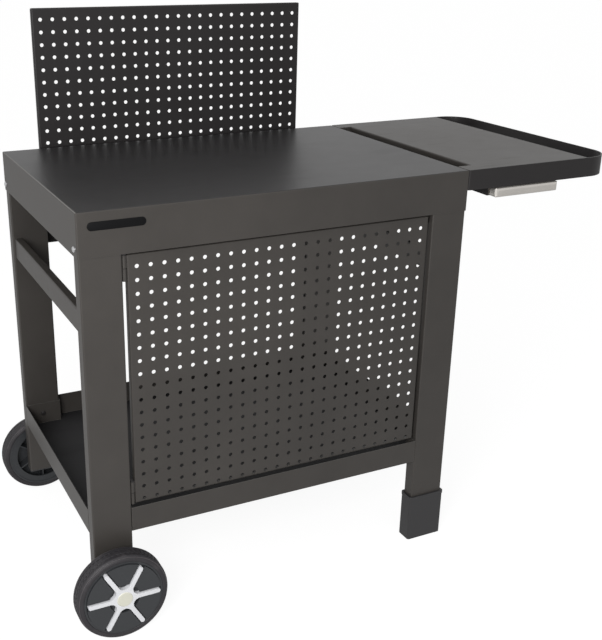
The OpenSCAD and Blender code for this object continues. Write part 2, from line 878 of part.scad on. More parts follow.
// A moulded bar with round ends and a finger scoop along its lower rear
module drawer_grip() {
    front_r = 8;
    end_r = 9;
    scoop_r = 7;
    color("#d2ccc4") centred() translate([housing_x, tray_in_y, drawer_z]) difference() {
        intersection() {
            translate([0, -grip_d / 2, 0]) linear_extrude(drawer_h)
                rounded_rect(drawer_w, grip_d, end_r);
            translate([0, cut, drawer_h / 2]) rotate([90, 0, 0])
                linear_extrude(grip_d + 2 * cut) rounded_rect(drawer_w, drawer_h, front_r);
            rotate([90, 0, 90]) linear_extrude(drawer_w, center = true) {
                translate([front_r - grip_d, 0]) square([grip_d - front_r, drawer_h]);
                translate([-grip_d, front_r]) square([grip_d, drawer_h - 2 * front_r]);
                for (z = [front_r, drawer_h - front_r])
                    translate([front_r - grip_d, z]) circle(front_r);
            }
        }
        translate([0, -scoop_r - 2, 0]) rotate([0, 90, 0])
            cylinder(r = scoop_r, h = drawer_w - 5 * end_r, center = true);
        translate([0, 0, tray_in_z - drawer_z]) at_grip_screws()
            translate([0, 0, -10]) cylinder(d = screw_d, h = 10 + cut);
    }
}

module leg_bolts() {
    color("#c4c6c8") centred() at_leg_bolts() bolt(sheet_t + leg_t + nut_h + 1);
}

module leg_nuts() {
    color("#c4c6c8") centred() at_leg_bolts(sheet_t + leg_t + nut_h) nut();
}

module tray_bolts() {
    color("#8f9194") centred() for (i = sides, j = sides) at_tray_bolts(i, j)
        bolt(sheet_t + tray_clear + leg_t + nut_h);
}

worktop();
top_stiffener();
leg_front_left();
leg_rear_left();
leg_front_right();
leg_rear_right();
leg_plugs();
left_side_bar();
right_side_bar();
bottom_tray();
foot_front();
foot_rear();
axle();
wheel_spacers();
axle_retainers();
front_tyre();
front_rim();
front_hub_bush();
front_star_cap();
rear_tyre();
rear_rim();
rear_hub_bush();
rear_star_cap();
splash_panel();
panel_spacers();
panel_bolts();
panel_washers();
panel_nuts();
door_panel();
door_knuckles();
leg_knuckles();
hinge_pins();
hinge_washers();
magnet_catch();
door_strike();
side_shelf();
handle_band();
handle_bolts();
handle_nuts();
drawer_housing();
drawer_tray();
drawer_grip();
drawer_screws();
leg_bolts();
leg_nuts();
tray_bolts();
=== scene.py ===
import bpy, bmesh, json, math
from mathutils import Matrix, Vector


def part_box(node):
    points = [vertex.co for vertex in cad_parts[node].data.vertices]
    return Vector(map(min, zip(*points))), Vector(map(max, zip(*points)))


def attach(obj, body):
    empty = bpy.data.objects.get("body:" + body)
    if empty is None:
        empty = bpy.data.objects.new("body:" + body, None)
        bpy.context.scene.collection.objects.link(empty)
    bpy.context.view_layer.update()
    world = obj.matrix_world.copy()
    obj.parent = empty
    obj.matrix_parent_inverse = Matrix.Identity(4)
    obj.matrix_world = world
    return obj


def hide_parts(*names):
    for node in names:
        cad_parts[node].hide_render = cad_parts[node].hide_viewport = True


# An outdoor kitchen trolley of dark powder-coated steel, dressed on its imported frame.
# Metres, +Z up, the front with the door at -Y and the side shelf at +X.
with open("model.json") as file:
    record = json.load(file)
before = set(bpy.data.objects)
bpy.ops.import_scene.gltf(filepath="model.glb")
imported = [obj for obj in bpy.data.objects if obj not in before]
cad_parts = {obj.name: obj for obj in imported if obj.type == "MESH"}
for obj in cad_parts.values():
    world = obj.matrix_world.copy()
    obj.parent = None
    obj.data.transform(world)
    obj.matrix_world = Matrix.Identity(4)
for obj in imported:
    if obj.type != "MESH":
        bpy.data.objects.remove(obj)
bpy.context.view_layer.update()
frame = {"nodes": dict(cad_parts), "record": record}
scene = bpy.context.scene
mm = 0.001
quarter = math.pi / 2
mergeGap = 0.002 * mm      # points closer together than this become one
print("frame loaded,", len(frame["nodes"]), "nodes")

def addObject(name, data):
    holder = bpy.data.objects.new(name, data)
    scene.collection.objects.link(holder)
    return holder

# Camera: at the front left of the trolley, looking down a little
camera = {
    "place": (-0.9589, -1.7627, 1.2195),
    "turn": -25.35,        # degrees, seen from above, to the right
    "down": 20.91,
    "lean": 0.43,
    "focal": 985.2,        # pixels, as are the next two
    "centre": (243.1, 314.1),
    "picture": (602, 640),
    "sensor": 36,          # millimetres
}

def aimCamera(kit):
    turn, down, lean = (math.radians(kit[key]) for key in ("turn", "down", "lean"))
    level = Vector((math.cos(turn), math.sin(turn), 0))
    ahead = Vector((-math.sin(turn), math.cos(turn), 0))
    forward = ahead * math.cos(down) - Vector((0, 0, 1)) * math.sin(down)
    upward = Vector((0, 0, 1)) * math.cos(down) + ahead * math.sin(down)
    right = level * math.cos(lean) + upward * math.sin(lean)
    upward = upward * math.cos(lean) - level * math.sin(lean)
    lensData = bpy.data.cameras.new("photoCamera")
    wide, high = kit["picture"]
    longSide = max(wide, high)
    lensData.sensor_width = kit["sensor"]
    lensData.lens = kit["focal"] * kit["sensor"] / longSide
    lensData.shift_x = (wide / 2 - kit["centre"][0]) / longSide
    lensData.shift_y = (kit["centre"][1] - high / 2) / longSide
    holder = addObject("photoCamera", lensData)
    turnTable = Matrix((right, upward, -forward)).transposed().to_4x4()
    holder.matrix_world = Matrix.Translation(kit["place"]) @ turnTable
    scene.camera = holder

aimCamera(camera)
scene.view_settings.view_transform = "Standard"
print("camera set")

# A Wire is a node's socket that adds up like a number
class Wire:
    def __init__(self, sheet, socket):
        self.sheet, self.socket = sheet, socket

    def reckon(self, operation, *values):
        return self.sheet.add("ShaderNodeMath", {"operation": operation}, dict(enumerate(values)))

    def __add__(self, other):
        return self.reckon("ADD", self, other)

    def __radd__(self, other):
        return self.reckon("ADD", other, self)

    def __sub__(self, other):
        return self.reckon("SUBTRACT", self, other)

    def __rsub__(self, other):
        return self.reckon("SUBTRACT", other, self)

    def __mul__(self, other):
        return self.reckon("MULTIPLY", self, other)

    def __rmul__(self, other):
        return self.reckon("MULTIPLY", other, self)

    def larger(self, other):
        return self.reckon("MAXIMUM", self, other)

# A node tree: settings are set first, then the values or links of the sockets
class Sheet:
    def __init__(self, tree):
        self.tree = tree

    def add(self, kind, settings=None, inputs=None, out=0):
        node = self.tree.nodes.new(kind)
        for key, value in (settings or {}).items():
            setattr(node, key, value)
        for key, value in (inputs or {}).items():
            for item in value if isinstance(value, list) else [value]:
                if isinstance(item, Wire):
                    self.tree.links.new(item.socket, node.inputs[key])
                else:
                    node.inputs[key].default_value = item
        return Wire(self, node.outputs[out]) if len(node.outputs) else None

def clearedTree(owner):
    owner.use_nodes = True
    owner.node_tree.nodes.clear()
    return owner.node_tree

def times(colour, share):
    return [c * share for c in colour]

# A material: close() puts it in finishes under its name
finishes = {}

class Finish(Sheet):
    def __init__(self, name):
        self.name, self.material = name, bpy.data.materials.new(name)
        super().__init__(clearedTree(self.material))
        self.where = self.add("ShaderNodeTexCoord", out="Object")

    def noise(self, scale, detail=3.0, rough=0.5, where=None):
        return self.add("ShaderNodeTexNoise", {}, {"Vector": where or self.where, "Scale": scale,
                                                   "Detail": detail, "Roughness": rough})

    def stretched(self, x, y, z):
        return self.add("ShaderNodeMapping", {}, {"Vector": self.where, "Scale": (x, y, z)})

    def band(self, value, low, high):    # 0 below low, 1 above high
        return self.add("ShaderNodeMapRange", {"interpolation_type": "SMOOTHSTEP"},
                        {"Value": value, "From Min": low, "From Max": high})

    def blend(self, share, first, second):
        first, second = (c if isinstance(c, Wire) else (*c, 1) for c in (first, second))
        return self.add("ShaderNodeMix", {"data_type": "RGBA"}, {0: share, 6: first, 7: second}, out=2)

    def shaded(self, share, colour, darker, lighter):
        return self.blend(share, times(colour, darker), times(colour, lighter))

    def bump(self, height, depth, strength, under=None):
        inputs = {"Height": height, "Distance": depth, "Strength": strength}
        if under:
            inputs["Normal"] = under
        return self.add("ShaderNodeBump", {}, inputs)

    # The edge mark gives a painted highlight on the folded sheets' edges, the worktop's side folds and the
    # tyres' moulded line, and worn or polished edges on the other finishes
    def edge(self):    # 1 on rounded edges, rubbed folds and the tyres' moulded line, 0 elsewhere
        return self.add("ShaderNodeAttribute", {"attribute_name": "edge"}, out="Fac")

    def close(self, **values):
        names = {"colour": "Base Color", "rough": "Roughness", "metal": "Metallic", "normal": "Normal",
                 "gloss": "Specular IOR Level"}
        shader = self.add("ShaderNodeBsdfPrincipled", {}, {names[k]: v for k, v in values.items()})
        self.add("ShaderNodeOutputMaterial", {}, {"Surface": shader})
        finishes[self.name] = self.material

# Powder coat: fine orange peel, a cloudy sheen, rubbed edges and a few wipe marks
coat = {
    "paint": (0.046, 0.0415, 0.0375),
    # worn edges, and on the folded sheets a painted highlight on edges and side folds
    "rubbedAndHighlight": (0.12, 0.115, 0.105),
    "darkPaint": (0.019, 0.0172, 0.0175),
    "darkRubbed": (0.06, 0.056, 0.056),
    # the worktop's upper face, painted darker as painted shade
    "topShadedPaint": (0.0165, 0.0155, 0.016),
    # the tray's floor, painted darker as painted shade
    "trayShadedPaint": (0.010, 0.0095, 0.0105),
    "darker": 0.88,        # the paint's clouds, as shares of its colour
    "lighter": 1.12,
    "rough": 0.42,
    "darkRough": 0.45,
    "topRough": 0.385,
    "trayRough": 0.72,
    "gloss": 0.4,
    "darkGloss": 0.3,
    "wiped": 0.05,         # what wipe marks and smears add to the roughness
    "topSmeared": 0.025,
    "traySmeared": 0.1,
    "clouds": 3.2,         # cells per metre, as are the lines down to flecks
    "sheetClouds": 2.6,
    "patches": 21.0,
    "wipes": 38.0,
    "smears": 7.0,
    "rubs": 46.0,
    "peel": 620.0,
    "flecks": 2600.0,
    "peelDepth": 0.05 * mm,
}

def coatClouds(finish, clouds):
    broad = finish.noise(clouds)
    patches = finish.noise(coat["patches"], 4.0, 0.6)
    return broad, patches, finish.band(broad * 0.7 + patches * 0.3, 0.3, 0.72)

def coatGrain(finish, strength):
    peel = finish.noise(coat["peel"], 2.0, 0.4)
    flecks = finish.noise(coat["flecks"], 1.0)
    fine = finish.bump(peel * 0.8 + flecks * 0.2, coat["peelDepth"], strength)
    return finish.band(flecks, 0.66, 0.8), fine

def rubbedThrough(finish):
    rubs = finish.noise(coat["rubs"], 4.0, 0.65)
    return finish.band(rubs + finish.edge() * 0.3, 0.72, 0.9) * finish.edge()

def powderCoat(name, paint, rubbedAndHighlight, rough, gloss):
    finish = Finish(name)
    broad, patches, cloudy = coatClouds(finish, coat["clouds"])
    flecks, fine = coatGrain(finish, 0.35)
    wipes = finish.noise(coat["wipes"], 3.0, 0.55, finish.stretched(0.35, 2.4, 2.4))
    worn = rubbedThrough(finish)
    tone = finish.shaded(cloudy, paint, coat["darker"], coat["lighter"])
    flecked = finish.blend(flecks * 0.35, tone, times(paint, 1.6))
    sheen = (rough + (broad - 0.5) * 0.1 + (patches - 0.5) * 0.07
             + finish.band(wipes, 0.56, 0.8) * coat["wiped"] - worn * 0.08)
    finish.close(colour=finish.blend(worn * 0.55, flecked, rubbedAndHighlight), rough=sheen, normal=fine, gloss=gloss)

# Folded sheets whose upper face is painted darker than the sides as painted shade and has its own sheen,
# and whose edges and side folds get a painted highlight, such as the worktop and the tray
def sheetCoat(name, upperShadedPaint, upperRough, smeared):
    finish = Finish(name)
    facing = finish.add("ShaderNodeNewGeometry", out="Normal")
    upper = finish.band(finish.add("ShaderNodeSeparateXYZ", {}, {0: facing}, out="Z"), 0.6, 0.9)
    broad, patches, cloudy = coatClouds(finish, coat["sheetClouds"])
    flecks, fine = coatGrain(finish, 0.3)
    smears = finish.noise(coat["smears"], 4.0, 0.6, finish.stretched(0.6, 1.5, 1.0))
    # the faces that look up take the darker paint: painted shade
    side = finish.shaded(cloudy, coat["paint"], coat["darker"], coat["lighter"])
    top = finish.shaded(cloudy, upperShadedPaint, coat["darker"], coat["lighter"])
    # the edge mark turns edges and the worktop's side folds to the lighter colour: a painted highlight
    shadedAndHighlighted = finish.blend(finish.edge() * 0.95, finish.blend(upper, side, top), coat["rubbedAndHighlight"])
    flecked = finish.blend(flecks * 0.3, shadedAndHighlighted, times(coat["paint"], 1.4))
    colour = finish.blend(rubbedThrough(finish) * 0.5, flecked, coat["rubbedAndHighlight"])
    sheen = (coat["rough"] + upper * (upperRough - coat["rough"]) + (broad - 0.5) * 0.07
             + (patches - 0.5) * 0.04 + upper * finish.band(smears, 0.5, 0.75) * smeared)
    finish.close(colour=colour, rough=sheen, normal=fine, gloss=coat["gloss"])

powderCoat("panelCoat", coat["paint"], coat["rubbedAndHighlight"], coat["rough"], coat["gloss"])
powderCoat("darkCoat", coat["darkPaint"], coat["darkRubbed"], coat["darkRough"], coat["darkGloss"])
sheetCoat("worktopCoat", coat["topShadedPaint"], coat["topRough"], coat["topSmeared"])
sheetCoat("trayCoat", coat["trayShadedPaint"], coat["trayRough"], coat["traySmeared"])

# Bare metals: drawn lines along one way, with a cloudy sheen
metal = {
    "zinc": (0.62, 0.62, 0.63),
    "drawn": (0.54, 0.52, 0.49),
    "grip": (0.67, 0.64, 0.60),
    "lines": 900.0,        # cells per metre, as is the next one
    "clouds": 30.0,
    "lineStretch": 0.02,   # how little the lines change along the metal
    "lineDepth": 0.02 * mm,
}

def bareMetal(name, colour, rough, along, metallic=1.0):
    finish = Finish(name)
    stretch = [metal["lineStretch"] if way == along else 1 for way in "xyz"]
    lines = finish.noise(metal["lines"], 2.0, 0.6, finish.stretched(*stretch))
    broad = finish.noise(metal["clouds"])
    tint = finish.shaded(lines * 0.6 + broad * 0.4, colour, 0.78, 1.12)
    sheen = rough + (lines - 0.5) * 0.16 + (broad - 0.5) * 0.1
    finish.close(colour=tint, rough=sheen, metal=metallic,
                 normal=finish.bump(lines, metal["lineDepth"], 0.4))

bareMetal("zincScrews", metal["zinc"], rough=0.3, along="z")
bareMetal("drawnSteel", metal["drawn"], rough=0.36, along="y")
bareMetal("axleSteel", metal["zinc"], rough=0.34, along="y")
bareMetal("gripFinish", metal["grip"], rough=0.32, along="x", metallic=0.75)

# Moulded plastics: a fine grain, and edges that are a little lighter and smoother
plastic = {
    "black": (0.028, 0.0275, 0.029),
    "cream": (0.68, 0.67, 0.57),
    "slate": (0.027, 0.029, 0.032),
    "silver": (0.74, 0.745, 0.77),
    "nylon": (0.52, 0.50, 0.44),
    "palest": 0.9,         # no edge gets lighter than this
    "grain": 1500.0,       # cells per metre, as is the next one
    "clouds": 14.0,
    "grainDepth": 0.04 * mm,
}

def mouldedPlastic(name, colour, rough, grain=1.0, gloss=0.5):
    finish = Finish(name)
    grainy = finish.noise(plastic["grain"], 2.0, 0.55)
    broad = finish.noise(plastic["clouds"])
    tint = finish.shaded(broad, colour, 0.88, 1.1)
    edged = finish.blend(finish.edge() * 0.3, tint, [min(c, plastic["palest"]) for c in times(colour, 1.5)])
    sheen = rough + (grainy - 0.5) * 0.1 + (broad - 0.5) * 0.1 - finish.edge() * 0.06
    finish.close(colour=edged, rough=sheen, gloss=gloss,
                 normal=finish.bump(grainy, plastic["grainDepth"], 0.5 * grain))

mouldedPlastic("blackPlastic", plastic["black"], rough=0.5)
mouldedPlastic("slatePlastic", plastic["slate"], rough=0.48)
mouldedPlastic("silverPlastic", plastic["silver"], rough=0.34, grain=0.3)
mouldedPlastic("creamPlastic", plastic["cream"], rough=0.4, grain=0.4)
mouldedPlastic("nylon", plastic["nylon"], rough=0.45)

# Rubber: dull, a little dusty, with the mould's faint ripple, and the moulded line painted lighter as a
# highlight
rubber = {
    "colour": (0.024, 0.022, 0.025),
    "dustAndHighlight": (0.11, 0.10, 0.105),
    "rough": 0.55,
    "gloss": 0.4,
    "ripple": 240.0,       # cells per metre, as are the next two
    "pores": 1300.0,
    "dusting": 26.0,
    "rippleDepth": 0.08 * mm,
    "poreDepth": 0.03 * mm,
}

def tyreRubber(name):
    finish = Finish(name)
    ripple = finish.noise(rubber["ripple"], 3.0, 0.6)
    pores = finish.noise(rubber["pores"], 2.0)
    dusty = finish.band(finish.noise(rubber["dusting"], 5.0, 0.65), 0.5, 0.78)
    # dust, and the moulded line painted lighter as a highlight
    tint = finish.blend(dusty * 0.28 + finish.edge() * 0.6, rubber["colour"], rubber["dustAndHighlight"])
    sheen = rubber["rough"] + (ripple - 0.5) * 0.14 + dusty * 0.1
    deep = finish.bump(ripple, rubber["rippleDepth"], 0.35)
    finish.close(colour=tint, rough=sheen, gloss=rubber["gloss"],
                 normal=finish.bump(pores, rubber["poreDepth"], 0.5, deep))

tyreRubber("tyreRubber")

# Which parts wear which finish
legs = ["leg_front_left", "leg_rear_left", "leg_front_right", "leg_rear_right"]
wearers = {
    "worktopCoat": ["worktop"],
    "trayCoat": ["bottom_tray"],
    "panelCoat": [*legs, "left_side_bar", "right_side_bar", "door_panel", "door_knuckles",
                  "leg_knuckles", "side_shelf", "top_stiffener"],
    "darkCoat": ["splash_panel", "panel_spacers", "handle_band", "drawer_housing", "tray_bolts",
                 "hinge_pins", "hinge_washers"],
    "zincScrews": ["panel_bolts", "panel_washers", "panel_nuts", "handle_bolts", "handle_nuts",
                   "leg_bolts", "leg_nuts", "drawer_screws", "door_strike"],
    "axleSteel": ["axle", "wheel_spacers", "axle_retainers"],
    "drawnSteel": ["drawer_tray"],
    "gripFinish": ["drawer_grip"],
    "blackPlastic": ["leg_plugs", "foot_front", "foot_rear", "magnet_catch"],
    "slatePlastic": ["front_rim", "rear_rim"],
    "silverPlastic": ["front_star_cap", "rear_star_cap"],
    "nylon": ["front_hub_bush", "rear_hub_bush"],
    "tyreRubber": ["front_tyre", "rear_tyre"],
}
finishOf = {node: name for name, nodes in wearers.items() for node in nodes}
slotOf = {entry["node"]: entry["material_slot"] for entry in frame["record"]["subparts"]}
bodyOf = {node: body for body, nodes in frame["record"]["behaviour"]["bodies"].items() for node in nodes}

def wear(mesh, finish):
    mesh.materials.clear()
    mesh.materials.append(finishes[finish])

for nodeName, holder in frame["nodes"].items():
    wear(holder.data, finishOf[nodeName])
print("finishes made,", len(finishes))

# Puts a finished mesh in the scene on the body that carries it
def seat(name, mesh, body, slotName, stands=()):
    piece = addObject(name, mesh)
    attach(piece, body)
    if stands:
        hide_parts(*stands)

def meshFrom(name, shape):
    mesh = bpy.data.meshes.new(name)
    shape.to_mesh(mesh)
    shape.free()
    return mesh

def shade(mesh, sharp, smooth=True):
    for face in mesh.polygons:
        face.use_smooth = smooth
    mesh.set_sharp_from_angle(angle=math.radians(sharp))

# The plain mesh that a worker's modifiers end in
def settled(worker):
    shapes = bpy.context.evaluated_depsgraph_get()
    mesh = bpy.data.meshes.new_from_object(worker.evaluated_get(shapes), depsgraph=shapes)
    worker.modifiers.clear()
    bpy.data.objects.remove(worker)
    return mesh

def mergedShape(node):
    shape = bmesh.new()
    shape.from_mesh(frame["nodes"][node].data)
    bmesh.ops.remove_doubles(shape, verts=shape.verts, dist=mergeGap)
    return shape

# Rounds the sharp edges of a node: the rounded strips carry a mark for the worn finish, which on the folded
# sheets is a painted highlight
softEdges = {    # radius in millimetres
    "worktop": 0.4, "leg_front_left": 0.3, "leg_rear_left": 0.3, "leg_front_right": 0.3,
    "leg_rear_right": 0.3, "left_side_bar": 0.3, "right_side_bar": 0.3, "bottom_tray": 0.5,
    "foot_front": 1.0, "foot_rear": 1.0, "front_rim": 0.7, "rear_rim": 0.7,
    "front_star_cap": 0.9, "rear_star_cap": 0.9, "side_shelf": 0.6, "handle_band": 0.9,
    "drawer_housing": 0.4, "drawer_tray": 0.4, "drawer_grip": 0.8, "magnet_catch": 0.6,
    "leg_plugs": 0.6, "top_stiffener": 0.4,
}
softening = {
    "sharp": 28.0,         # degrees, past which an edge is rounded
    "flat": 0.3,           # degrees, below which two faces become one
    "crease": 50.0,        # degrees, past which the shading breaks
    "flatness": 80,        # weight of the wide faces in the shading
}
# Side folds that get the edge mark as a painted highlight: how far their faces look up and sideways
highlightedFolds = {    # how the rubbed faces of a node's side folds look up and sideways
    "worktop": {"least": 0.5, "most": 0.9, "sideways": 0.4},
}

def markFaces(faces, mark):
    for face in faces:
        for loop in face.loops:
            loop[mark] = 1.0

def soften(node, width):
    shape = mergedShape(node)
    bmesh.ops.dissolve_limit(shape, angle_limit=math.radians(softening["flat"]), verts=shape.verts,
                             edges=shape.edges)
    mark = shape.loops.layers.float.new("edge")
    edges = [e for e in shape.edges if len(e.link_faces) == 2
             and e.calc_face_angle(0) > math.radians(softening["sharp"])]
    strips = bmesh.ops.bevel(shape, geom=edges, offset=width * mm, segments=2, profile=0.5,
                             affect="EDGES", clamp_overlap=True)["faces"]
    markFaces(strips, mark)
    shape.normal_update()
    # the worktop's side folds get the mark, painted lighter as a highlight
    if node in highlightedFolds:
        fold = highlightedFolds[node]
        markFaces([f for f in shape.faces if fold["least"] < f.normal.z < fold["most"]
                   and abs(f.normal.x) > fold["sideways"]], mark)
    mesh = flatShaded(node + "_soft", shape)
    wear(mesh, finishOf[node])
    seat(node + "_soft", mesh, bodyOf[node], slotOf[node], [node])

# Keeps the shading of wide faces flat beside their rounded edges
def flatShaded(name, shape):
    worker = addObject(name + "Worker", meshFrom(name + "Rough", shape))
    shade(worker.data, softening["crease"])
    weighing = worker.modifiers.new("Weighing", "WEIGHTED_NORMAL")
    weighing.keep_sharp = True
    weighing.weight = softening["flatness"]
    mesh = settled(worker)
    mesh.name = name
    return mesh

for nodeName, width in softEdges.items():
    soften(nodeName, width)
print("edges softened on", len(softEdges), "pieces")

# The crown in the middle of each star is a plain cream button
crown = {
    "radius": 15.2 * mm,
    "deep": 1.3 * mm,
}

def colourCrown(side):
    piece = bpy.data.objects[side + "_star_cap_soft"]
    low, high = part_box(side + "_star_cap")
    middle = (low + high) / 2
    outside = low.y if side == "front" else high.y
    piece.data.materials.append(finishes["creamPlastic"])
    for face in piece.data.polygons:
        centre = face.center
        aside = math.hypot(centre.x - middle.x, centre.z - middle.z)
        if aside < crown["radius"] and abs(centre.y - outside) < crown["deep"]:
            face.material_index = 1

for side in ("front", "rear"):
    colourCrown(side)
print("crowns coloured")

# A geometry tree with named inputs, and what it makes from a base mesh
class Recipe(Sheet):
    kinds = {float: "NodeSocketFloat", int: "NodeSocketInt", tuple: "NodeSocketVector"}
    crease = 40.0          # degrees, past which the shading breaks

    def __init__(self, name, sizes):
        super().__init__(bpy.data.node_groups.new(name, "GeometryNodeTree"))
        face = self.tree.interface
        face.new_socket("Base", in_out="INPUT", socket_type="NodeSocketGeometry")
        self.slots = {key: face.new_socket(key, in_out="INPUT", socket_type=self.kinds[type(value)])
                      for key, value in sizes.items()}
        self.sizes = sizes
        self.finishSlot = face.new_socket("Finish", in_out="INPUT", socket_type="NodeSocketMaterial")
        face.new_socket("Shape", in_out="OUTPUT", socket_type="NodeSocketGeometry")

    def size(self, name):
        return self.add("NodeGroupInput", out=name)

    def ring(self, sides, radius):
        return self.add("GeometryNodeCurvePrimitiveCircle", {"mode": "RADIUS"},
                        {"Resolution": sides, "Radius": radius})

    def copies(self, points, shape, rotation=(0.0, 0.0, 0.0), scale=(1.0, 1.0, 1.0)):
        return self.add("GeometryNodeInstanceOnPoints", {},
                        {"Points": points, "Instance": shape, "Rotation": rotation, "Scale": scale})

    def moved(self, shape, rotation, shift=(0.0, 0.0, 0.0)):
        return self.add("GeometryNodeTransform", {},
                        {0: shape, "Translation": shift, "Rotation": rotation})

    def finishWith(self, shape):
        real = self.add("GeometryNodeRealizeInstances", {}, {0: shape})
        painted = self.add("GeometryNodeSetMaterial", {}, {0: real, "Material": self.size("Finish")})
        self.add("NodeGroupOutput", {}, {0: painted})

    def make(self, name, points, body, finish, slotName, lines=(), smooth=True):
        base = bpy.data.meshes.new(name + "Base")
        base.from_pydata([tuple(p) for p in points], list(lines), [])
        worker = addObject(name + "Worker", base)
        modifier = worker.modifiers.new("Recipe", "NODES")
        modifier.node_group = self.tree
        for key, value in self.sizes.items():
            modifier[self.slots[key].identifier] = value
        modifier[self.finishSlot.identifier] = finishes[finish]
        mesh = settled(worker)
        shade(mesh, self.crease, smooth)
        seat(name, mesh, body, slotName)

# The boxes of the loose solids in one node, such as each bolt of a group
def looseBoxes(node):
    shape = mergedShape(node)
    boxes, seen = [], set()
    for first in shape.verts:
        if first.index in seen:
            continue
        island, queue = [], [first]
        seen.add(first.index)
        while queue:
            vert = queue.pop()
            island.append(vert.co.copy())
            for edge in vert.link_edges:
                other = edge.other_vert(vert)
                if other.index not in seen:
                    seen.add(other.index)
                    queue.append(other)
        boxes.append((Vector(map(min, *island)), Vector(map(max, *island))))
    shape.free()
    return boxes

# Dark hexagons on the heads of the leg and panel bolts: painted shade standing in for the sockets' recesses
socket = {
    # the colour of the sockets' painted shade
    "colour": (0.09, 0.09, 0.092),
    "across": 4.0 * mm,    # over the corners
    "deep": 0.35 * mm,
    "legStart": 0.06 * mm,    # from the head's face to where the hexagon starts
    "panelStart": 0.12 * mm,
}
bareMetal("socketDark", socket["colour"], rough=0.5, along="z")

def socketRecipe(turn):
    recipe = Recipe("socketCups", {"Radius": socket["across"] / 2, "Deep": socket["deep"], "Turn": turn})
    radius = recipe.size("Radius")
    cup = recipe.add("GeometryNodeMeshCone", {"fill_type": "NGON"},
                     {"Vertices": 6, "Side Segments": 1, "Radius Top": radius, "Radius Bottom": radius,
                      "Depth": recipe.size("Deep")})
    recipe.finishWith(recipe.copies(recipe.size("Base"), cup, recipe.size("Turn")))
    return recipe

def headPoint(box, axis, side, start):
    low, high = box
    point = (low + high) / 2
    point[axis] = (high if side > 0 else low)[axis] - side * start
    return point

topLow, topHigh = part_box("worktop")
middleX = (topLow.x + topHigh.x) / 2
legHeads = looseBoxes("leg_bolts")
leftHeads = [headPoint(box, 0, -1, socket["legStart"]) for box in legHeads if box[0].x < middleX]
rightHeads = [headPoint(box, 0, 1, socket["legStart"]) for box in legHeads if box[0].x > middleX]
panelHeads = [headPoint(box, 1, 1, socket["panelStart"]) for box in looseBoxes("panel_bolts")]
socketRecipe((0.0, quarter, 0.0)).make("leg_bolt_socket_shades", leftHeads + rightHeads, "frame",
                                       "socketDark", "plain_steel", smooth=False)
socketRecipe((quarter, 0.0, 0.0)).make("panel_bolt_socket_shades", panelHeads, "frame",
                                       "socketDark", "plain_steel", smooth=False)
print("screw sockets made")

def addLine(points, lines, start, end):
    lines.append((len(points), len(points) + 1))
    points.extend([start, end])

# Weld beads where the side bars meet the legs
weld = {
    "pitch": 2.2 * mm,
    "bead": 1.5 * mm,
    "beadShape": (0.75, 1.0, 0.8),    # its radius along the run, across it and upwards
    "endGap": 4.0 * mm,
}

def weldRecipe():
    recipe = Recipe("weldRun", {"Pitch": weld["pitch"], "Bead": weld["bead"]})
    path = recipe.add("GeometryNodeMeshToCurve", {}, {0: recipe.size("Base")})
    steps = recipe.add("GeometryNodeResampleCurve", {"mode": "LENGTH"},
                       {0: path, "Length": recipe.size("Pitch")})
    bead = recipe.add("GeometryNodeMeshIcoSphere", {}, {"Radius": recipe.size("Bead"), "Subdivisions": 2})
    along = recipe.add("GeometryNodeInputTangent")
    turn = recipe.add("FunctionNodeAlignRotationToVector", {"axis": "X"}, {"Vector": along})
    recipe.finishWith(recipe.copies(steps, bead, turn, weld["beadShape"]))
    return recipe

def weldLines():
    points, lines = [], []
    gap = weld["endGap"]
    for bar in ("left_side_bar", "right_side_bar"):
        low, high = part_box(bar)
        inner = high.x if bar.startswith("left") else low.x
        for y in (low.y, high.y):
            for z in (low.z, high.z):
                addLine(points, lines, (low.x + gap, y, z), (high.x - gap, y, z))
            addLine(points, lines, (inner, y, low.z + gap), (inner, y, high.z - gap))
    return points, lines

weldPoints, weldEdges = weldLines()
weldRecipe().make("side_bar_welds", weldPoints, "frame", "panelCoat", "painted_steel", weldEdges)
print("welds made")

# A thin dark line where the skirt's hem meets the legs: a painted shadow under the hem
hemShadow = {
    # the colour of the painted shadow
    "colour": (0.012, 0.0115, 0.012),
    "radius": 0.55 * mm,
    "sides": 8,
    "lift": 0.1 * mm,
    "cornerGap": 3.2 * mm,
    "endGap": 3.0 * mm,
}
mouldedPlastic("darkSealer", hemShadow["colour"], rough=0.6, grain=0.3, gloss=0.2)

def hemShadowRecipe():
    recipe = Recipe("sealerLine", {"Radius": hemShadow["radius"], "Sides": hemShadow["sides"]})
    path = recipe.add("GeometryNodeMeshToCurve", {}, {0: recipe.size("Base")})
    wire = recipe.ring(recipe.size("Sides"), recipe.size("Radius"))
    recipe.finishWith(recipe.add("GeometryNodeCurveToMesh", {}, {0: path, 1: wire, "Fill Caps": True}))
    return recipe

def hemShadowLines():
    points, lines = [], []
    level = topLow.z + hemShadow["lift"]
    for leg in legs:
        low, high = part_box(leg)
        x, far, inward = (low.x, high.x, 1) if leg.endswith("left") else (high.x, low.x, -1)
        y, back, behind = (low.y, high.y, 1) if leg.startswith("leg_front") else (high.y, low.y, -1)
        gapX, gapY = inward * hemShadow["cornerGap"], behind * hemShadow["cornerGap"]
        addLine(points, lines, (far - gapX, y, level), (x + gapX, y, level))
        addLine(points, lines, (x, y + gapY, level), (x, back - behind * hemShadow["endGap"], level))
    return points, lines

hemShadowPoints, hemShadowEdges = hemShadowLines()
hemShadowRecipe().make("hem_shadow_line", hemShadowPoints, "frame", "darkSealer", "black_plastic", hemShadowEdges)
print("sealer made")

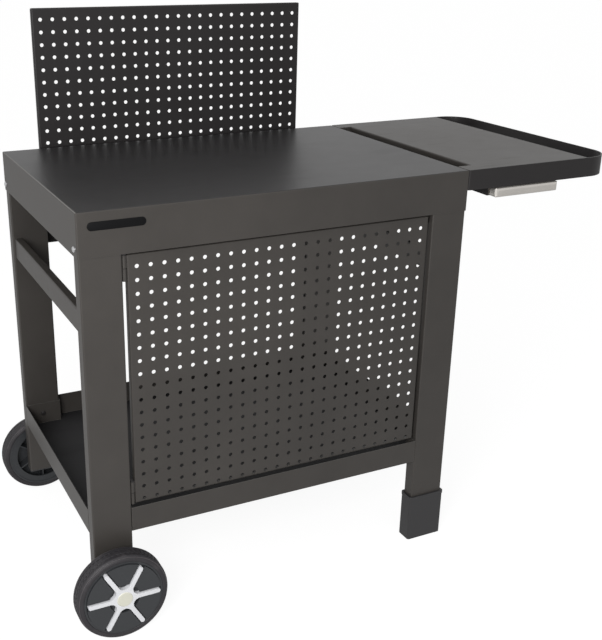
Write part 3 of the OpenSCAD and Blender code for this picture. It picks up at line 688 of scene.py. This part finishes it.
# Tyres: a turned section with a moulded line round its shoulder, and a low block tread
tyre = {
    "inner": 75.5 * mm,
    "foot": ((0, 4), (0, 1.4), (0.5, 0.5), (1.4, 0.15), (2.6, 0.2)),    # mm outwards, mm from the side
    "shoulder": 9.0 * mm,
    "flank": 0.2 * mm,     # the flank, the two valleys and the brow lie below the shoulder's curve
    "valley": 0.5 * mm,
    "ridge": 0.6 * mm,     # the moulded line stands above it
    "brow": 0.1 * mm,
    # mm deep, and the place as a share of the width
    "groove": ((0, 0.325), (0.3, 0.335), (1.2, 0.34), (1.2, 0.38), (0.3, 0.385), (0, 0.395)),
    "skin": 0.5 * mm,      # how far the tread blocks stand out
    "blocks": 60,
    "blockWide": 6.6 * mm,
    "blockSpare": 0.02 * mm,
    "middleLong": 8.0 * mm,
    "sideLong": 4.6 * mm,
    "sideShift": 8.0 * mm,
    "steps": 144,
    "crease": 50.0,
}

def arc(centre, radius, first, last, steps):
    angles = [math.radians(first + (last - first) * i / steps) for i in range(steps + 1)]
    return [(centre[0] + radius * math.cos(a), centre[1] + radius * math.sin(a)) for a in angles]

def tyreSection(outer, wide):
    inner, curve, skin = tyre["inner"], tyre["shoulder"], tyre["skin"]
    bend = (outer - curve, curve)
    half = [(inner + out * mm, across * mm) for out, across in tyre["foot"]]
    for out, first, last, steps in ((-tyre["flank"], -84, -66, 3), (-tyre["valley"], -60, -57, 1),
                                    (tyre["ridge"], -52, -48, 2), (-tyre["valley"], -43, -40, 1),
                                    (-tyre["brow"], -36, -12, 4), (-skin, -6, 0, 1)):
        half += arc(bend, curve + out, first, last, steps)
    half += [(outer - skin - deep * mm, wide * share) for deep, share in tyre["groove"]]
    section = half + [(radius, wide - across) for radius, across in reversed(half)]
    raised = []
    for radius, across in section:
        aside = min(across, wide - across)
        reach = math.hypot(radius - bend[0], aside - curve)
        raised.append(aside < curve and reach > curve + tyre["ridge"] / 2)
    return section, raised

def turned(section, raised, centre, face, way):
    shape = bmesh.new()
    mark = shape.verts.layers.float.new("edge")
    rings = []
    for step in range(tyre["steps"]):
        angle = 2 * math.pi * step / tyre["steps"]
        rings.append([shape.verts.new((centre.x + r * math.cos(angle), face + way * a,
                                       centre.z + r * math.sin(angle))) for r, a in section])
        # the moulded line's points carry the edge mark, which paints them lighter as a highlight
        for vert, light in zip(rings[-1], raised):
            vert[mark] = 1.0 if light else 0.0
    for step, ring in enumerate(rings):
        following = rings[(step + 1) % tyre["steps"]]
        for i in range(len(section)):
            j = (i + 1) % len(section)
            shape.faces.new((ring[i], ring[j], following[j], following[i]))
    bmesh.ops.recalc_face_normals(shape, faces=shape.faces)
    return shape

def treadRecipe(crest):
    recipe = Recipe("treadBlocks", {"Crest": crest, "Count": tyre["blocks"], "Wide": tyre["blockWide"],
                                    "Middle Long": tyre["middleLong"], "Side Long": tyre["sideLong"],
                                    "Side Shift": tyre["sideShift"], "Deep": 2 * tyre["skin"]})
    size = recipe.size
    circle = recipe.add("GeometryNodeMeshCircle", {}, {"Vertices": size("Count"), "Radius": size("Crest")})
    place = recipe.add("GeometryNodeInputPosition")
    turn = recipe.add("FunctionNodeAlignRotationToVector", {"axis": "X"}, {"Vector": place})
    rows = []
    for long, way in (("Middle Long", 0), ("Side Long", -1), ("Side Long", 1)):
        sizes = recipe.add("ShaderNodeCombineXYZ", {},
                           {"X": size("Deep"), "Y": size("Wide"), "Z": size(long)})
        block = recipe.add("GeometryNodeMeshCube", {}, {"Size": sizes})
        aside = recipe.add("ShaderNodeCombineXYZ", {}, {"Z": size("Side Shift") * float(way)})
        halfStep = math.pi / tyre["blocks"] * abs(way)
        rows.append(recipe.moved(recipe.copies(circle, block, turn), (0.0, 0.0, halfStep), aside))
    joined = recipe.add("GeometryNodeJoinGeometry", {}, {0: rows})
    recipe.finishWith(recipe.copies(size("Base"), recipe.moved(joined, (quarter, 0.0, 0.0))))
    return recipe

def makeTyre(side):
    node = side + "_tyre"
    low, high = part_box(node)
    centre = (low + high) / 2
    outer, wide = (high.z - low.z) / 2, high.y - low.y
    face, way = (low.y, 1) if side == "front" else (high.y, -1)
    mesh = meshFrom(node + "_turned", turned(*tyreSection(outer, wide), centre, face, way))
    shade(mesh, tyre["crease"])
    wear(mesh, "tyreRubber")
    seat(node + "_turned", mesh, bodyOf[node], slotOf[node], [node])
    blockTop = math.sqrt(outer ** 2 - (tyre["blockWide"] / 2) ** 2) - tyre["blockSpare"]
    treadRecipe(blockTop - tyre["skin"]).make(side + "_tread_blocks", [centre], bodyOf[node],
                                              "tyreRubber", slotOf[node], smooth=False)

for side in ("front", "rear"):
    makeTyre(side)
print("tyres made")

# Soft paint rims round the punched holes
punch = {
    "pitch": 25.0 * mm,
    "radius": 4.0 * mm,
    "sides": 20,
    "rim": 0.28 * mm,
    "rimSides": 6,
    "sunk": 0.4,           # how deep the rim's middle lies, as a share of its radius
    "edge": 15.0 * mm,     # the sheet's margins at its sides, top and bottom
    "top": 22.0 * mm,
    "low": 7.3 * mm,
    "slack": 1e-6,         # against rounding, when the holes are counted
}

def rimRecipe():
    recipe = Recipe("punchedRims", {"Radius": punch["radius"], "Rim": punch["rim"]})
    circle = recipe.ring(punch["sides"], recipe.size("Radius"))
    wire = recipe.ring(punch["rimSides"], recipe.size("Rim"))
    rim = recipe.add("GeometryNodeCurveToMesh", {}, {0: circle, 1: wire})
    recipe.finishWith(recipe.copies(recipe.size("Base"), recipe.moved(rim, (quarter, 0.0, 0.0))))
    return recipe

def holePlaces(node):
    low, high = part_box(node)
    columns = int((high.x - low.x - 2 * punch["edge"]) / punch["pitch"] + punch["slack"])
    rows = int((high.z - low.z - punch["top"] - punch["low"]) / punch["pitch"] + punch["slack"])
    middle = (low.x + high.x) / 2
    return [Vector((middle + (i - columns / 2) * punch["pitch"], low.y + punch["rim"] * punch["sunk"],
                    high.z - punch["top"] - j * punch["pitch"]))
            for i in range(columns + 1) for j in range(rows + 1)]

for node in ("door_panel", "splash_panel"):
    rimRecipe().make(node + "_rims", holePlaces(node), bodyOf[node], finishOf[node], slotOf[node])
print("punched rims made")

# A plain plate with round ends on the left of the front skirt
plate = {
    "colour": (0.004, 0.004, 0.0045),
    "long": 102.0 * mm,
    "high": 15.0 * mm,
    "thick": 0.9 * mm,
    "fromLeft": 18.5 * mm,
    "below": 25.5 * mm,
    "round": 0.35 * mm,
    "steps": 16,
    "crease": 30.0,
}
mouldedPlastic("plateEnamel", plate["colour"], rough=0.5, grain=0.2, gloss=0.12)

def makePlate(kit):
    radius = kit["high"] / 2
    reach = kit["long"] / 2 - radius
    centre = Vector((topLow.x + kit["fromLeft"] + kit["long"] / 2, topLow.y, topHigh.z - kit["below"]))
    outline = (arc((reach, 0), radius, -90, 90, kit["steps"])
               + arc((-reach, 0), radius, 90, 270, kit["steps"]))
    shape = bmesh.new()
    back = shape.faces.new([shape.verts.new((centre.x + x, centre.y, centre.z + z)) for x, z in outline])
    grown = bmesh.ops.extrude_face_region(shape, geom=[back])["geom"]
    front = [v for v in grown if isinstance(v, bmesh.types.BMVert)]
    bmesh.ops.translate(shape, vec=(0, -kit["thick"], 0), verts=front)
    edges = [e for e in shape.edges if all(v.co.y < centre.y - kit["thick"] / 2 for v in e.verts)]
    bmesh.ops.bevel(shape, geom=edges, offset=kit["round"], segments=2, profile=0.5, affect="EDGES")
    bmesh.ops.recalc_face_normals(shape, faces=shape.faces)
    mesh = meshFrom("blank_plate", shape)
    shade(mesh, kit["crease"])
    wear(mesh, "plateEnamel")
    seat("blank_plate", mesh, "frame", "black_plastic")

makePlate(plate)
print("blank plate made")

# Floor and light: a white room, with a soft sun and one round lamp from the front left
studio = {
    "floor": (0.55, 0.55, 0.55),
    "spread": 60.0,
    "floorShown": {"Is Camera Ray": 0.68, "Is Glossy Ray": 0.3, "Is Transmission Ray": 0.68},
    "floorGlow": 1.34,
    "room": (1.0, 1.0, 1.0),
    "roomLight": 0.36,
    "roomShown": {"Is Camera Ray": 1.0, "Is Glossy Ray": 0.68, "Is Transmission Ray": 1.0},
    "sky": {"turn": (52, 0, -28), "power": 0.6, "soft": 70},
    "keyLamp": {"place": (-1.35, -1.55, 1.2), "aim": (-0.45, -0.25, 0.6), "power": 26, "size": 0.8},
}

# The rays in shares see that share of the bright shader, and every other ray sees the plain one
def showWhite(sheet, shares, plain, bright, outlet):
    seen = None
    for ray, share in shares.items():
        part = sheet.add("ShaderNodeLightPath", out=ray) * share
        seen = seen.larger(part) if seen else part
    mixed = sheet.add("ShaderNodeMixShader", {}, {0: seen, 1: plain, 2: bright})
    sheet.add(outlet, {}, {"Surface": mixed})

def makeFloor(kit):
    mesh = bpy.data.meshes.new("floor")
    reach = kit["spread"]
    corners = [(-reach, -reach, 0), (reach, -reach, 0), (reach, reach, 0), (-reach, reach, 0)]
    mesh.from_pydata(corners, [], [(0, 1, 2, 3)])
    floor = addObject("floor", mesh)
    paint = bpy.data.materials.new("floorPaint")
    sheet = Sheet(clearedTree(paint))
    matt = sheet.add("ShaderNodeBsdfDiffuse", {}, {"Color": (*kit["floor"], 1)})
    glow = sheet.add("ShaderNodeEmission", {}, {"Strength": kit["floorGlow"]})
    showWhite(sheet, kit["floorShown"], matt, glow, "ShaderNodeOutputMaterial")
    mesh.materials.append(paint)

def makeRoom(kit):
    scene.world = bpy.data.worlds.new("whiteRoom")
    sheet = Sheet(clearedTree(scene.world))
    colour = (*kit["room"], 1)
    dim = sheet.add("ShaderNodeBackground", {}, {"Color": colour, "Strength": kit["roomLight"]})
    bright = sheet.add("ShaderNodeBackground", {}, {"Color": colour})
    showWhite(sheet, kit["roomShown"], dim, bright, "ShaderNodeOutputWorld")

def makeLamps(kit):
    sky, key = kit["sky"], kit["keyLamp"]
    soft = bpy.data.lights.new("skyLight", "SUN")
    soft.energy = sky["power"]
    soft.angle = math.radians(sky["soft"])
    addObject("skyLight", soft).rotation_euler = [math.radians(a) for a in sky["turn"]]
    lamp = bpy.data.lights.new("keyLamp", "AREA")
    lamp.shape = "DISK"
    lamp.size = key["size"]
    lamp.energy = key["power"]
    way = Vector(key["aim"]) - Vector(key["place"])
    holder = addObject("keyLamp", lamp)
    holder.location = key["place"]
    holder.rotation_euler = way.to_track_quat("-Z", "Y").to_euler()

makeFloor(studio)
makeRoom(studio)
makeLamps(studio)
print("studio made")
